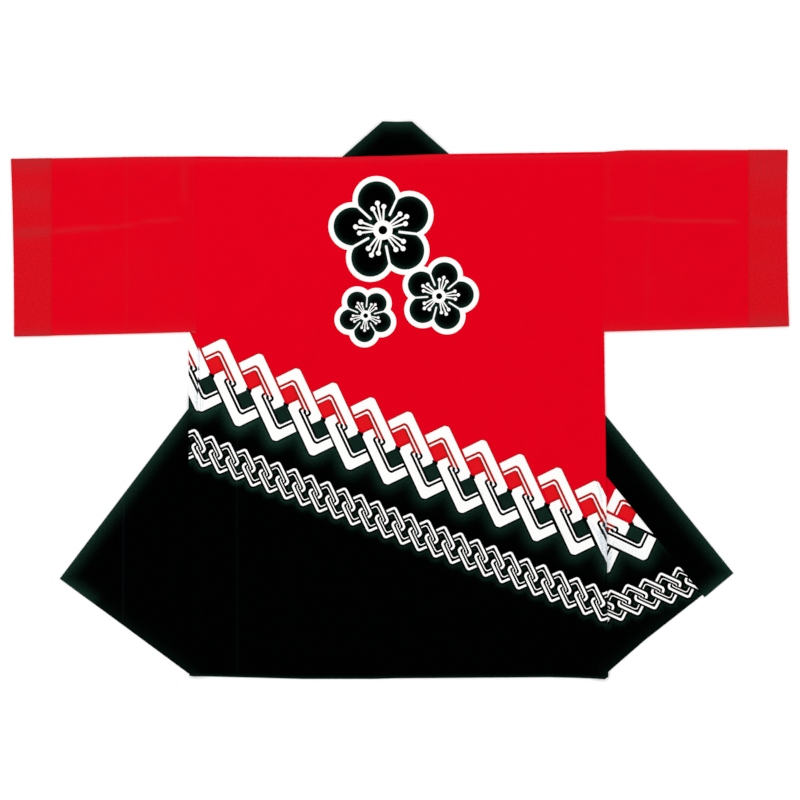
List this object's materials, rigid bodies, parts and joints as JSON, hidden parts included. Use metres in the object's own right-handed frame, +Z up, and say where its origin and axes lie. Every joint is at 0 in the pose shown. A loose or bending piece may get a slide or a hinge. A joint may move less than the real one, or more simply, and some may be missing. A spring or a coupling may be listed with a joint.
{
  "type": "happi coat laid flat",
  "caption": "Cotton happi coat laid face down, back up, with both fronts folded out to the sides as wings, straight sleeves and a standing band collar",
  "frame": {"origin": "on the surface it lies on, under the middle of its outline", "axes": "+X along the sleeves from cuff to cuff, +Y from hem to collar, +Z up out of the surface"},
  "size_m": [1.2708, 0.9105, 0.0051],
  "materials": {
    "printed_cotton": "matt plain-weave cotton, printed red and black with white",
    "red_cotton": "matt plain-weave cotton, red",
    "red_cotton_double": "matt plain-weave cotton, red, two layers, its weave showing",
    "black_cotton": "matt plain-weave cotton, black"
  },
  "bodies": {
    "root": {"back_panel": "printed_cotton", "front_left": "printed_cotton", "front_right": "printed_cotton", "sleeve_left": "red_cotton", "sleeve_right": "red_cotton", "cuff_hem_left": "red_cotton_double", "cuff_hem_right": "red_cotton_double", "collar_neck": "black_cotton", "collar_left": "black_cotton", "collar_right": "black_cotton"}
  },
  "joints": []
}
